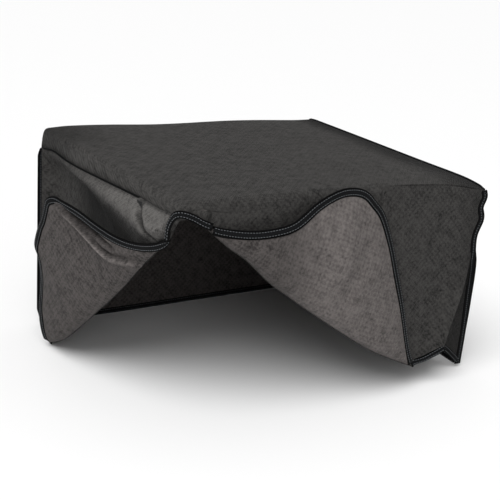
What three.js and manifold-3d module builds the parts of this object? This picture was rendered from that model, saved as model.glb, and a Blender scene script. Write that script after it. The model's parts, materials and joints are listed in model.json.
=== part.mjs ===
// Soft dust cover for a desktop printer: five cloth panels, bound seams, and a front-left
// corner that is slit from the hem almost to the top, with both corner flaps folded back.
// Millimetres, +Z up, front towards -Y. The origin is the middle of the top panel's underside,
// the face that rests on the printer's lid.
import * as THREE from 'three';
import { mergeVertices } from 'three/addons/utils/BufferGeometryUtils.js';
import Module from 'manifold-3d';

const wasm = await Module();
wasm.setup();

// Driving dimensions
const WIDTH = 500;                 // outside, left to right
const DEPTH = 440;                 // outside, front to back
const HEIGHT = 300;                // top of the cover to the back hem
const FRONT_LIFT = 30;             // how much higher the front hem hangs than the back hem
const CLOTH = 1.6;                 // cloth with its lining and coating
const GAP = 0.3;                   // clearance between pieces that touch
const SEAM_WIDTH = 8;              // how far a bound seam stands out from its edge
const SEAM_THICK = 2.6;
const TAPE_WIDTH = 9;              // binding tape folded over a raw edge
const TAPE_THICK = 3.4;
const TAPE_WALL = 1;               // tape beyond the raw edge
const CORNER_GAP = 2;              // hem tapes stop this far from the neighbouring panel
const SLIT_TOP_DROP = 15;          // the slit stops this far below the top
const SLIT_SEAM_LENGTH = 8;        // short bound seam above the slit
const SEAM_END = 10;               // bound seams stop this far from a corner
const FLAP_CORNER_RADIUS = 33;     // the binding turns each flap's corner in an arc
const CORNER_STEPS = 10;           // facets in that arc
const FOLD_INSET = 6;              // the folds begin this far from the front left corner
const LEFT_FOLD_DROP = 10;         // the left fold begins this far below the front one
const FOLD_CLEARANCE = 2;          // from the fold axis to either cut edge of the cloth
const HEM_START = 4;               // a cut hem begins this far past the end of its fold
const HEM_TAPE_START = 8;          // and its tape begins this much further on
const TAPE_START = 16;             // a flap's tape begins this far above its fold
const FRONT_FOLD_X = 145;          // where the front fold meets the hem
const FRONT_SLIT_EDGE = 250;       // free edges of the front flap
const FRONT_HEM_EDGE = 312;
const FRONT_REST_ANGLE = 8;        // degrees off the panel, folded back
const LEFT_FOLD_Y = 130;           // where the left fold meets the hem
const LEFT_SLIT_EDGE = 255;
const LEFT_HEM_EDGE = 268;
const LEFT_REST_ANGLE = 22;
const TACK_LENGTH = 10;            // bar tack sewn across the front end of the left seam
const TACK_WIDTH = 4;
const TACK_THICK = 1.2;
const TACK_FROM_FRONT = 94;
const TACK_DROP = 5;               // its upper edge lies this far below the top
const CUT_PAST = 2;                // a cutting shape runs this far past what it cuts

// Levels and planes that follow from them
const TOP = CLOTH;
const HEM = TOP - HEIGHT;
const FRONT_HEM = HEM + FRONT_LIFT;
const RIGHT = WIDTH / 2;
const BACK = DEPTH / 2;
const INSIDE_X = RIGHT - CLOTH - GAP;
const INSIDE_Y = BACK - CLOTH - GAP;
const SLIT_TOP = TOP - SLIT_TOP_DROP;

const BODY_CLOTH = { color: 0x3d3c3a, roughness: 0.86, metalness: 0 };
const LINING_CLOTH = { color: 0x5f5855, roughness: 0.88, metalness: 0 };
const TAPE = { color: 0x131313, roughness: 0.7, metalness: 0 };
const THREAD = { color: 0x0b0b0b, roughness: 0.6, metalness: 0 };

// One closed mesh with shared vertices, as a solid that can be joined and cut.
function solid(geometry) {
  const bare = geometry.index ? geometry.toNonIndexed() : geometry.clone();
  bare.deleteAttribute('normal');
  bare.deleteAttribute('uv');
  const merged = mergeVertices(bare, 1e-4);
  const mesh = new wasm.Mesh({
    numProp: 3,
    vertProperties: new Float32Array(merged.attributes.position.array),
    triVerts: new Uint32Array(merged.index.array),
  });
  return new wasm.Manifold(mesh);
}

function geometryOf(manifold) {
  const mesh = manifold.getMesh();
  const geometry = new THREE.BufferGeometry();
  geometry.setAttribute('position', new THREE.BufferAttribute(mesh.vertProperties, 3));
  geometry.setIndex(new THREE.BufferAttribute(mesh.triVerts, 1));
  geometry.computeVertexNormals();
  return geometry;
}

function piece(name, geometry, finish) {
  const mesh = new THREE.Mesh(geometry, new THREE.MeshStandardMaterial(finish));
  mesh.name = name;
  return mesh;
}

// A flat slab: an outline in its own plane, from one height to another above it.
function slab(outline, low, high) {
  const shape = new THREE.Shape(outline.map(([x, y]) => new THREE.Vector2(x, y)));
  const geometry = new THREE.ExtrudeGeometry(shape, { depth: high - low, bevelEnabled: false });
  return geometry.translate(0, 0, low);
}

// A path moved sideways in its plane, to the left of its direction for a positive distance.
function offsetPath(path, distance) {
  return path.map(([x, y], i) => {
    const [ax, ay] = path[Math.max(i - 1, 0)];
    const [bx, by] = path[Math.min(i + 1, path.length - 1)];
    const before = new THREE.Vector2(x - ax, y - ay).normalize();
    const after = new THREE.Vector2(bx - x, by - y).normalize();
    const side = before.add(after).normalize();
    const turn = i > 0 && i < path.length - 1 ? side.dot(after) : 1;
    return [x - side.y * distance / turn, y + side.x * distance / turn];
  });
}

// Binding tape folded over a raw edge: a channel along a path, with the cloth on its left.
function edgeTape(path, clothLow) {
  const middle = clothLow + CLOTH / 2;
  const outer = [...path, ...offsetPath(path, TAPE_WIDTH).reverse()];
  const slot = [...offsetPath(path, TAPE_WALL), ...offsetPath(path, TAPE_WIDTH + CUT_PAST).reverse()];
  const slotHalf = CLOTH / 2 + GAP;
  const whole = slab(outer, middle - TAPE_THICK / 2, middle + TAPE_THICK / 2);
  const cut = slab(stretchEnds(slot, path.length), middle - slotHalf, middle + slotHalf);
  return geometryOf(solid(whole).subtract(solid(cut)));
}

// The slot runs out past both ends of its tape, so that the channel is open there.
function stretchEnds(outline, pathLength) {
  const longer = outline.map((point) => [...point]);
  const ends = [[0, 1], [pathLength - 1, pathLength - 2],
    [pathLength, pathLength + 1], [2 * pathLength - 1, 2 * pathLength - 2]];
  for (const [end, next] of ends) {
    const dx = outline[end][0] - outline[next][0];
    const dy = outline[end][1] - outline[next][1];
    const length = Math.hypot(dx, dy);
    longer[end] = [outline[end][0] + CUT_PAST * dx / length, outline[end][1] + CUT_PAST * dy / length];
  }
  return longer;
}

// A group whose local X, Y and Z are the given directions, for a panel drawn in its own plane.
function plane(origin, xAxis, yAxis) {
  const zAxis = new THREE.Vector3().crossVectors(xAxis, yAxis);
  const group = new THREE.Group();
  group.position.copy(origin);
  group.quaternion.setFromRotationMatrix(new THREE.Matrix4().makeBasis(xAxis, yAxis, zAxis));
  return group;
}

const cover = new THREE.Group();
const vector = (x, y, z) => new THREE.Vector3(x, y, z);
const X = vector(1, 0, 0);
const Y = vector(0, 1, 0);
const Z = vector(0, 0, 1);

// Top panel
const topOutline = [[-INSIDE_X, -INSIDE_Y], [INSIDE_X, -INSIDE_Y],
  [INSIDE_X, INSIDE_Y], [-INSIDE_X, INSIDE_Y]];
cover.add(piece('top_panel', slab(topOutline, 0, CLOTH), BODY_CLOTH));

// The cloth's raw edge lies inside its binding tape, so it stops a little above the hem line.
const rawEdge = TAPE_WALL + GAP;
const rawHem = (hemLine) => offsetPath(hemLine, rawEdge);

// A hem's tape stops short of the seams at both ends, by these distances.
function hemTape(name, hemLine, startGap, endGap) {
  const [[ax, ay], [bx, by]] = hemLine;
  const length = Math.hypot(bx - ax, by - ay);
  const at = (distance) => [ax + (bx - ax) * distance / length, ay + (by - ay) * distance / length];
  return piece(name, edgeTape([at(startGap), at(length - endGap)], -CLOTH), TAPE);
}

// Front panel: its plane is seen from outside, local X to the right and Y up.
// The corner below the fold is missing, because it is the front flap.
const frontPlane = plane(vector(0, -BACK, 0), X, Z);
const frontTop = [-RIGHT + FOLD_INSET, SLIT_TOP];
const frontFoldEnd = [FRONT_FOLD_X, FRONT_HEM];
const frontCut = offsetPath([frontFoldEnd, frontTop], -FOLD_CLEARANCE);
const frontHem = [[FRONT_FOLD_X + HEM_START, FRONT_HEM], [INSIDE_X, FRONT_HEM]];
const frontOutline = [...rawHem(frontHem), [INSIDE_X, TOP], [-INSIDE_X, TOP],
  [-INSIDE_X, SLIT_TOP + FOLD_CLEARANCE], frontCut[1], frontCut[0]];
frontPlane.add(piece('front_panel', slab(frontOutline, -CLOTH, 0), BODY_CLOTH));
frontPlane.add(hemTape('front_hem_tape', frontHem, HEM_TAPE_START, CORNER_GAP));
cover.add(frontPlane);

// Back panel
const backPlane = plane(vector(0, BACK, 0), vector(-1, 0, 0), Z);
const backHem = [[-INSIDE_X, HEM], [INSIDE_X, HEM]];
const backOutline = [...rawHem(backHem), [INSIDE_X, TOP], [-INSIDE_X, TOP]];
backPlane.add(piece('back_panel', slab(backOutline, -CLOTH, 0), BODY_CLOTH));
backPlane.add(hemTape('back_hem_tape', backHem, CORNER_GAP, CORNER_GAP));
cover.add(backPlane);

// Side hems climb evenly from the back hem to the front hem.
const sideHem = (y) => HEM + FRONT_LIFT * (BACK - y) / DEPTH;

// Right panel: local X towards the back, Y up.
const rightPlane = plane(vector(RIGHT, 0, 0), Y, Z);
const rightHem = [[-BACK, sideHem(-BACK)], [BACK, sideHem(BACK)]];
const rightOutline = [...rawHem(rightHem), [BACK, TOP], [-BACK, TOP]];
rightPlane.add(piece('right_panel', slab(rightOutline, -CLOTH, 0), BODY_CLOTH));
rightPlane.add(hemTape('right_hem_tape', rightHem, CORNER_GAP + CLOTH, CORNER_GAP + CLOTH));
cover.add(rightPlane);

// Left panel: local X towards the front, Y up. Its missing corner is the left flap.
const leftPlane = plane(vector(-RIGHT, 0, 0), vector(0, -1, 0), Z);
const leftTop = [BACK - FOLD_INSET, SLIT_TOP - LEFT_FOLD_DROP];
const leftFoldEnd = [-LEFT_FOLD_Y, sideHem(LEFT_FOLD_Y)];
const leftCut = offsetPath([leftTop, leftFoldEnd], -FOLD_CLEARANCE);
const leftHemEnd = LEFT_FOLD_Y + HEM_START;
const leftHem = [[-BACK, sideHem(BACK)], [-leftHemEnd, sideHem(leftHemEnd)]];
const leftOutline = [...rawHem(leftHem), leftCut[1], leftCut[0],
  [BACK, leftTop[1] + FOLD_CLEARANCE], [BACK, TOP], [-BACK, TOP]];
leftPlane.add(piece('left_panel', slab(leftOutline, -CLOTH, 0), BODY_CLOTH));
leftPlane.add(hemTape('left_hem_tape', leftHem, CORNER_GAP + CLOTH, HEM_TAPE_START));

// A short row of dense zigzag stitches stops the left seam where the corner is left loose.
const tackX = BACK - TACK_FROM_FRONT;
const tackTop = TOP - TACK_DROP;
const tackOutline = [[tackX, tackTop - TACK_WIDTH], [tackX + TACK_LENGTH, tackTop - TACK_WIDTH],
  [tackX + TACK_LENGTH, tackTop], [tackX, tackTop]];
leftPlane.add(piece('left_seam_bar_tack', slab(tackOutline, GAP, GAP + TACK_THICK), THREAD));
cover.add(leftPlane);

// A corner flap, folded back over the outside of its panel about a fold line.
// Local X runs down the fold from the top of the slit to the hem, Y away from the fold.
function flap(name, start, end, outward, slitEdge, hemEdge, restAngle) {
  const along = end.clone().sub(start);
  const foldLength = along.length();
  along.normalize();
  const away = new THREE.Vector3().crossVectors(along, outward);
  if (away.z < 0) {
    away.negate();
  }
  const tilt = THREE.MathUtils.degToRad(restAngle);
  const up = away.multiplyScalar(Math.cos(tilt)).addScaledVector(outward, Math.sin(tilt));
  const group = plane(start, along, up);
  const facesOut = new THREE.Vector3().crossVectors(along, up).dot(outward) > 0;
  const tipX = (slitEdge ** 2 - hemEdge ** 2 + foldLength ** 2) / (2 * foldLength);
  const tip = new THREE.Vector2(tipX, Math.sqrt(slitEdge ** 2 - tipX ** 2));
  const first = new THREE.Vector2(0, 0);
  const last = new THREE.Vector2(foldLength, 0);
  const edge = roundedPath(raised(last, tip, TAPE_START), tip, raised(first, tip, TAPE_START));
  const low = facesOut ? GAP : -GAP - CLOTH;
  group.add(piece(`${name}_edge_tape`, edgeTape(edge, low), TAPE));
  const cutStart = FOLD_CLEARANCE + rawEdge;
  const cut = roundedPath(raised(last, tip, cutStart), tip, raised(first, tip, cutStart));
  const raw = offsetPath(cut, rawEdge);
  group.add(piece(`${name}_cloth`, slab(raw, low, low + CLOTH), LINING_CLOTH));
  return group;
}

// The point on a straight edge that lies this far above the fold.
function raised(foot, corner, height) {
  return foot.clone().lerp(corner, height / corner.y);
}

// Two straight edges joined by an arc of the flap's corner radius.
function roundedPath(from, corner, to) {
  const back = from.clone().sub(corner).normalize();
  const ahead = to.clone().sub(corner).normalize();
  const half = back.angleTo(ahead) / 2;
  const reach = FLAP_CORNER_RADIUS / Math.tan(half);
  const centre = back.clone().add(ahead).normalize()
    .multiplyScalar(FLAP_CORNER_RADIUS / Math.sin(half)).add(corner);
  const enter = corner.clone().addScaledVector(back, reach);
  const leave = corner.clone().addScaledVector(ahead, reach);
  const begin = Math.atan2(enter.y - centre.y, enter.x - centre.x);
  let sweep = Math.atan2(leave.y - centre.y, leave.x - centre.x) - begin;
  sweep = Math.atan2(Math.sin(sweep), Math.cos(sweep));
  const arc = Array.from({ length: CORNER_STEPS + 1 }, (_, i) => {
    const angle = begin + sweep * i / CORNER_STEPS;
    return [centre.x + FLAP_CORNER_RADIUS * Math.cos(angle),
      centre.y + FLAP_CORNER_RADIUS * Math.sin(angle)];
  });
  return [[from.x, from.y], ...arc, [to.x, to.y]];
}

cover.add(flap('front_flap', vector(frontTop[0], -BACK, frontTop[1]),
  vector(FRONT_FOLD_X, -BACK, FRONT_HEM), vector(0, -1, 0),
  FRONT_SLIT_EDGE, FRONT_HEM_EDGE, FRONT_REST_ANGLE));
cover.add(flap('left_flap', vector(-RIGHT, -leftTop[0], leftTop[1]),
  vector(-RIGHT, LEFT_FOLD_Y, sideHem(LEFT_FOLD_Y)), vector(-1, 0, 0),
  LEFT_SLIT_EDGE, LEFT_HEM_EDGE, LEFT_REST_ANGLE));

// Bound seams stand out from the box's edges along the diagonal between their two panels.
function boundSeam(name, middle, out, along, length) {
  const seat = plane(middle, along, out.normalize());
  const geometry = new THREE.BoxGeometry(length, SEAM_WIDTH, SEAM_THICK);
  geometry.translate(0, GAP + SEAM_WIDTH / 2, 0);
  seat.add(piece(name, geometry, TAPE));
  return seat;
}

for (const [name, side] of [['top_left_seam_tape', -1], ['top_right_seam_tape', 1]]) {
  const middle = vector(side * RIGHT, 0, TOP);
  cover.add(boundSeam(name, middle, vector(side, 0, 1), Y, DEPTH - 2 * SEAM_END));
}

const uprights = [
  ['back_left_seam_tape', -1, 1, HEM],
  ['back_right_seam_tape', 1, 1, HEM],
  ['front_right_seam_tape', 1, -1, FRONT_HEM],
];
for (const [name, sideX, sideY, low] of uprights) {
  const high = TOP - SEAM_END;
  const middle = vector(sideX * RIGHT, sideY * BACK, (low + high) / 2);
  cover.add(boundSeam(name, middle, vector(sideX, sideY, 0), Z, high - low));
}

// The slit's closed end is a short bound seam up the front left corner.
const slitSeamMiddle = vector(-RIGHT, -BACK, SLIT_TOP + SLIT_SEAM_LENGTH / 2);
cover.add(boundSeam('slit_top_tape', slitSeamMiddle, vector(-1, -1, 0), Z, SLIT_SEAM_LENGTH));

export default cover;
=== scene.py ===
import json
import math

import bmesh
import bpy
import numpy as np
from mathutils import Matrix, Vector


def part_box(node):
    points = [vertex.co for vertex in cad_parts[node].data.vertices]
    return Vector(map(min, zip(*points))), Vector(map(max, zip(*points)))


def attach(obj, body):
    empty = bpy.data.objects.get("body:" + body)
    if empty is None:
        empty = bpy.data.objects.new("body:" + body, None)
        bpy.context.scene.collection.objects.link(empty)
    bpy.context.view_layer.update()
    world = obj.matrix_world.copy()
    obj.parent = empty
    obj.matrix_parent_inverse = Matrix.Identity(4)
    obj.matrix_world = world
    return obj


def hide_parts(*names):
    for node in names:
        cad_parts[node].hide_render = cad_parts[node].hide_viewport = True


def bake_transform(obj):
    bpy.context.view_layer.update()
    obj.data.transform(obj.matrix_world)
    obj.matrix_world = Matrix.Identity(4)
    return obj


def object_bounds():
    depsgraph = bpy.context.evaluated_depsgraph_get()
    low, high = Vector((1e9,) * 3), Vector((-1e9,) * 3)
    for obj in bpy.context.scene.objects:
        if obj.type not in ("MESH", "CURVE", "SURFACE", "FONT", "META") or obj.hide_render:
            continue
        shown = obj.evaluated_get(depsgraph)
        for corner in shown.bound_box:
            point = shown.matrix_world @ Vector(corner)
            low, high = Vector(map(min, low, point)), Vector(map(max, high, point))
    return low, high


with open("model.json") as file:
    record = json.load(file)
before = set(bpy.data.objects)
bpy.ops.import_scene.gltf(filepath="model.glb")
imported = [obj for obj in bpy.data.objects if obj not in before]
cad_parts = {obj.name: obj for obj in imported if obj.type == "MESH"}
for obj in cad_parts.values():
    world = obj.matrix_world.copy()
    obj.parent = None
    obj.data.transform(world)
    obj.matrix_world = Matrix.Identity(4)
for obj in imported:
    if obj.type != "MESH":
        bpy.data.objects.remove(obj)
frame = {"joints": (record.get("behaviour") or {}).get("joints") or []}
cad_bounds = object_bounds()

# ---------------------------------------------------------------- studio
# A pale floor just below the hem, soft daylight from above the left of the front, a
# weak lamp before the front and an evenly white room.

MM = 0.001
VIEW_PLACE = (-0.8022, -1.2062, 0.3137)
VIEW_YAW = 0.586
VIEW_PITCH = 0.303
VIEW_ROLL = 0.072
VIEW_LENS = 72.0
FLOOR_DROP = 3.4
FLOOR_SIZE = 90.0
FLOOR_GREY = 0.90
DAYLIGHT_FROM = (-0.46, -0.38, 0.80)
DAYLIGHT_SPREAD = 42.0
DAYLIGHT_POWER = 2.75
LAMP_PLACE = (-1.0, -2.4, 0.9)
LAMP_TARGET = (0.0, 0.0, -0.1)
LAMP_SIZE = 1.3
LAMP_POWER = 12.0
ROOM_BRIGHTNESS = 0.42


def principled(material):
    material.use_nodes = True
    return material.node_tree.nodes["Principled BSDF"]


def add_view():
    camera = bpy.data.objects.new("studio_camera", bpy.data.cameras.new("studio_camera"))
    camera.data.lens = VIEW_LENS
    camera.data.sensor_width = 36.0
    camera.data.clip_end = 120.0
    sy, cy = math.sin(VIEW_YAW), math.cos(VIEW_YAW)
    sp, cp = math.sin(VIEW_PITCH), math.cos(VIEW_PITCH)
    forward = Vector((sy * cp, cy * cp, -sp))
    level = Vector((cy, -sy, 0.0))
    up = level.cross(forward)
    sr, cr = math.sin(VIEW_ROLL), math.cos(VIEW_ROLL)
    right = level * cr + up * sr
    top = up * cr - level * sr
    turn = Matrix((right, top, -forward)).transposed().to_4x4()
    camera.matrix_world = Matrix.Translation(VIEW_PLACE) @ turn
    bpy.context.scene.collection.objects.link(camera)
    bpy.context.scene.camera = camera


def add_light(name, place, target, size, power):
    data = bpy.data.lights.new(name, "AREA")
    data.shape = "DISK"
    data.size = size
    data.energy = power
    light = bpy.data.objects.new(name, data)
    light.location = place
    aim = Vector(target) - Vector(place)
    light.rotation_euler = aim.to_track_quat("-Z", "Y").to_euler()
    bpy.context.scene.collection.objects.link(light)


def add_window(name, towards, spread, power):
    data = bpy.data.lights.new(name, "SUN")
    data.angle = math.radians(spread)
    data.energy = power
    light = bpy.data.objects.new(name, data)
    light.rotation_euler = Vector(towards).to_track_quat("Z", "Y").to_euler()
    bpy.context.scene.collection.objects.link(light)


def add_floor():
    height = cad_bounds[0][2] - FLOOR_DROP * MM
    half = FLOOR_SIZE / 2
    mesh = bpy.data.meshes.new("studio_floor")
    corners = [(-half, -half), (half, -half), (half, half), (-half, half)]
    mesh.from_pydata([(x, y, height) for x, y in corners], [], [(0, 1, 2, 3)])
    floor = bpy.data.objects.new("studio_floor", mesh)
    paint = bpy.data.materials.new("studio_floor")
    shader = principled(paint)
    shader.inputs["Base Color"].default_value = (FLOOR_GREY, FLOOR_GREY, FLOOR_GREY, 1.0)
    shader.inputs["Roughness"].default_value = 0.85
    mesh.materials.append(paint)
    bpy.context.scene.collection.objects.link(floor)


add_view()
add_window("window_light", DAYLIGHT_FROM, DAYLIGHT_SPREAD, DAYLIGHT_POWER)
add_light("key_light", LAMP_PLACE, LAMP_TARGET, LAMP_SIZE, LAMP_POWER)
add_floor()
room = bpy.data.worlds.new("studio_room")
room.use_nodes = True
room.node_tree.nodes["Background"].inputs["Color"].default_value = (1.0, 1.0, 1.0, 1.0)
room.node_tree.nodes["Background"].inputs["Strength"].default_value = ROOM_BRIGHTNESS
bpy.context.scene.world = room
bpy.context.scene.view_settings.view_transform = "Standard"

# ---------------------------------------------------------------- wrap cloth
# One long strip of charcoal oxford cloth hangs down the back, lies over the top and
# falls down the front. It has no seam at the two bends, only soft creases.

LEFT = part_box("left_panel")[0].x / MM
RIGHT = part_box("right_panel")[1].x / MM
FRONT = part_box("front_panel")[0].y / MM
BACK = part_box("back_panel")[1].y / MM
HEM = cad_bounds[0][2] / MM
WIDTH = RIGHT - LEFT
DEPTH = BACK - FRONT
MIDDLE = np.array([(LEFT + RIGHT) / 2, (FRONT + BACK) / 2, HEM / 2])
CLOTH_THICK = 1.3
CLOTH_DARK = (0.0026, 0.0025, 0.0024)
CLOTH_LIGHT = (0.0475, 0.0455, 0.0435)
LINING_DARK = (0.0105, 0.0093, 0.0089)
LINING_LIGHT = (0.086, 0.077, 0.074)
THREAD_PITCH = 1.7
BASKET_PITCH = 4.6
WANDER_SCALE = 55.0
WANDER_REACH = 0.006
SLUB_LONG = (60.0, 900.0)
SPECK_SCALE = 330.0
CLOUD_SCALE = 75.0
PATCH_SCALE = 14.0
THREAD_SHARE = 0.6
BASKET_SHARE = 0.22
SLUB_MIDDLE = 0.44
SLUB_SHARE = 1.9
SPECK_MIDDLE = 0.45
SPECK_SHARE = 1.5
CLOUD_MIDDLE = 0.47
CLOUD_SHARE = 1.7
PATCH_MIDDLE = 0.40
PATCH_SHARE = 0.9
# How far painted light makes the cloth paler, more where the grain is high.
PAINTED_LIGHT_PALER = 2.6
PAINTED_LIGHT_ON_GRAIN = 0.70
PAINTED_LIGHT_EVENLY = 0.45
THREAD_POLISH = 0.12
WEAVE_HEIGHT = 1.2
SHEEN = 0.03


def link(tree, source, target):
    tree.links.new(source, target)


def sums(tree, operation, first, second=None):
    node = tree.nodes.new("ShaderNodeMath")
    node.operation = operation
    for socket, value in zip(node.inputs, (first, second)):
        if isinstance(value, (int, float)):
            socket.default_value = value
        elif value is not None:
            link(tree, value, socket)
    return node.outputs[0]


def noise(tree, vector, scale, detail, stretch=(1.0, 1.0, 1.0)):
    place = tree.nodes.new("ShaderNodeMapping")
    place.inputs["Scale"].default_value = stretch
    link(tree, vector, place.inputs["Vector"])
    node = tree.nodes.new("ShaderNodeTexNoise")
    node.inputs["Scale"].default_value = scale
    node.inputs["Detail"].default_value = detail
    link(tree, place.outputs["Vector"], node.inputs["Vector"])
    return node.outputs["Fac"]


def mixed(tree, factor, first, second):
    node = tree.nodes.new("ShaderNodeMix")
    node.data_type = "RGBA"
    link(tree, factor, node.inputs["Factor"])
    for socket, value in zip((node.inputs["A"], node.inputs["B"]), (first, second)):
        if isinstance(value, tuple):
            socket.default_value = (*value, 1.0)
        else:
            link(tree, value, socket)
    return node.outputs["Result"]


def about(tree, value, middle, share):
    """A noise made to swing about zero."""
    return sums(tree, "MULTIPLY", sums(tree, "SUBTRACT", value, middle), share)


def woven(name, dark, light, roughness):
    """Plain weave on the flat cut of the cloth, with thick and thin threads, patches of wear, and painted
    light and shade.
    """
    material = bpy.data.materials.new(name)
    shader = principled(material)
    tree = material.node_tree
    flat = tree.nodes.new("ShaderNodeUVMap")
    flat.uv_map = "cut"
    split = tree.nodes.new("ShaderNodeSeparateXYZ")
    wander = tree.nodes.new("ShaderNodeTexNoise")
    wander.inputs["Scale"].default_value = WANDER_SCALE
    link(tree, flat.outputs["UV"], wander.inputs["Vector"])
    shaken = tree.nodes.new("ShaderNodeVectorMath")
    shaken.operation = "MULTIPLY_ADD"
    link(tree, wander.outputs["Color"], shaken.inputs[0])
    shaken.inputs[1].default_value = (WANDER_REACH, WANDER_REACH, 0.0)
    link(tree, flat.outputs["UV"], shaken.inputs[2])
    link(tree, shaken.outputs["Vector"], split.inputs["Vector"])
    turn = math.pi / (THREAD_PITCH * MM)
    warp = sums(tree, "SINE", sums(tree, "MULTIPLY", split.outputs["X"], turn))
    weft = sums(tree, "SINE", sums(tree, "MULTIPLY", split.outputs["Y"], turn))
    over = sums(tree, "GREATER_THAN", sums(tree, "MULTIPLY", warp, weft), 0.0)
    under = sums(tree, "SUBTRACT", 1.0, over)
    threads = sums(
        tree,
        "ADD",
        sums(tree, "MULTIPLY", sums(tree, "ABSOLUTE", warp), over),
        sums(tree, "MULTIPLY", sums(tree, "ABSOLUTE", weft), under),
    )
    coarse = math.pi / (BASKET_PITCH * MM)
    basket = sums(
        tree,
        "MULTIPLY",
        sums(tree, "SINE", sums(tree, "MULTIPLY", split.outputs["X"], coarse)),
        sums(tree, "SINE", sums(tree, "MULTIPLY", split.outputs["Y"], coarse)),
    )
    body = tree.nodes.new("ShaderNodeTexCoord").outputs["Object"]
    slub_warp = noise(tree, flat.outputs["UV"], 1.0, 3.0, (*SLUB_LONG[::-1], 1.0))
    slub_weft = noise(tree, flat.outputs["UV"], 1.0, 3.0, (*SLUB_LONG, 1.0))
    speck = noise(tree, flat.outputs["UV"], SPECK_SCALE, 3.0)
    cloud = noise(tree, flat.outputs["UV"], CLOUD_SCALE, 5.0)
    patch = noise(tree, body, PATCH_SCALE, 4.0)
    slubs = sums(tree, "MULTIPLY", sums(tree, "ADD", slub_warp, slub_weft), 0.5)
    slubs = about(tree, slubs, SLUB_MIDDLE, SLUB_SHARE)
    speck = about(tree, speck, SPECK_MIDDLE, SPECK_SHARE)
    cloud = about(tree, cloud, CLOUD_MIDDLE, CLOUD_SHARE)
    pattern = sums(
        tree,
        "ADD",
        sums(tree, "MULTIPLY", threads, THREAD_SHARE),
        sums(tree, "MULTIPLY", basket, BASKET_SHARE),
    )
    mottling = sums(tree, "ADD", slubs, sums(tree, "ADD", speck, cloud))
    grain = sums(tree, "ADD", pattern, mottling)
    tone = mixed(tree, grain, dark, light)
    # Painted light from the point attribute makes the cloth paler; below zero it is painted shade that
    # makes it darker.
    painted_light = tree.nodes.new("ShaderNodeAttribute")
    painted_light.attribute_name = "painted_light"
    wear_and_painted_light = about(tree, patch, PATCH_MIDDLE, PATCH_SHARE)
    pale = tuple(min(1.0, channel * PAINTED_LIGHT_PALER) for channel in light)
    raised = sums(tree, "ADD", sums(tree, "MULTIPLY", grain, PAINTED_LIGHT_ON_GRAIN), PAINTED_LIGHT_EVENLY)
    paler = sums(tree, "MULTIPLY", painted_light.outputs["Fac"], raised)
    darker = sums(tree, "MULTIPLY", painted_light.outputs["Fac"], -1.0)
    colour = mixed(tree, paler, mixed(tree, wear_and_painted_light, tone, light), pale)
    link(tree, mixed(tree, darker, colour, dark), shader.inputs["Base Color"])
    bump = tree.nodes.new("ShaderNodeBump")
    bump.inputs["Strength"].default_value = 0.8
    bump.inputs["Distance"].default_value = WEAVE_HEIGHT * MM
    link(tree, grain, bump.inputs["Height"])
    link(tree, bump.outputs["Normal"], shader.inputs["Normal"])
    polish = sums(tree, "ADD", sums(tree, "MULTIPLY", threads, -THREAD_POLISH), roughness)
    link(tree, polish, shader.inputs["Roughness"])
    shader.inputs["Sheen Weight"].default_value = SHEEN
    shader.inputs["Sheen Roughness"].default_value = 0.45
    shader.inputs["Sheen Tint"].default_value = (0.93, 0.90, 0.88, 1.0)
    shader.inputs["Specular IOR Level"].default_value = 0.14
    return material


face_cloth = woven("charcoal_oxford", CLOTH_DARK, CLOTH_LIGHT, 0.86)
back_cloth = woven("coated_back", LINING_DARK, LINING_LIGHT, 0.90)


def smooth_line(points, count):
    """Even steps along a smooth line through the points."""
    p = np.asarray(points, float)
    ends = np.vstack([2 * p[0] - p[1], p, 2 * p[-1] - p[-2]])
    t = np.linspace(0, 1, 20, endpoint=False)[:, None]
    runs = []
    for a, b, c, d in zip(ends[:-3], ends[1:-2], ends[2:-1], ends[3:]):
        slope, bow, twist = c - a, 2 * a - 5 * b + 4 * c - d, 3 * b - a - 3 * c + d
        runs.append(0.5 * (2 * b + slope * t + bow * t**2 + twist * t**3))
    dense = np.vstack([*runs, p[-1:]])
    step = np.linalg.norm(np.diff(dense, axis=0), axis=1)
    way = np.r_[0, np.cumsum(step)] / step.sum()
    at = np.linspace(0, 1, count) if np.ndim(count) == 0 else np.asarray(count)
    return np.column_stack([np.interp(at, way, dense[:, k]) for k in range(p.shape[1])])


def height_at(table, x):
    """Height of a soft edge at x, from a table of (place, height)."""
    line = smooth_line(table, 200)
    return np.interp(x, line[:, 0], line[:, 1])


def ease(x):
    x = np.clip(x, 0, 1)
    return x * x * (3 - 2 * x)


def between(top, bottom, left, right, across, down):
    """A sheet of points inside four edges; across runs from left to right, down from top to bottom."""
    a = across[None, :, None]
    d = down[:, None, None]
    ruled = (1 - d) * top[None] + d * bottom[None] + (1 - a) * left[:, None] + a * right[:, None]
    high = (1 - a) * (1 - d) * top[0] + a * (1 - d) * top[-1]
    return ruled - (high + (1 - a) * d * bottom[0] + a * d * bottom[-1])


def ripples(grid, size, depth, seed):
    """Soft random swell of a draped cloth, from a few crossing waves."""
    draw = np.random.default_rng(seed)
    swell = np.zeros(grid.shape[:2])
    for _ in range(9):
        direction = draw.normal(size=3)
        direction /= np.linalg.norm(direction)
        length = size * draw.uniform(0.6, 1.7)
        wave = np.sin(2 * np.pi * (grid @ direction) / length + draw.uniform(0, 2 * np.pi))
        swell += wave * draw.uniform(0.5, 1.0)
    return swell * depth / 3.0


FLAT_ON_FRONT = (1, 0, 1)
FLAT_ON_SIDE = (0, 1, 1)
CREASE_STEPS = 60


def crease(grid, line, width, depth, seen=(1, 1, 1)):
    """How far each point moves off the sheet for one fold that follows the line; seen masks an axis."""
    p = smooth_line(line, CREASE_STEPS) * np.array(seen)
    grid = grid * np.array(seen)
    fade = np.sin(np.pi * np.linspace(0.04, 0.96, CREASE_STEPS)) ** 0.5
    gap = np.linalg.norm(grid[:, :, None, :] - p[None, None], axis=3)
    near = gap.argmin(axis=2)
    return depth * np.exp(-((gap.min(axis=2) / width) ** 2)) * fade[near]


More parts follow.
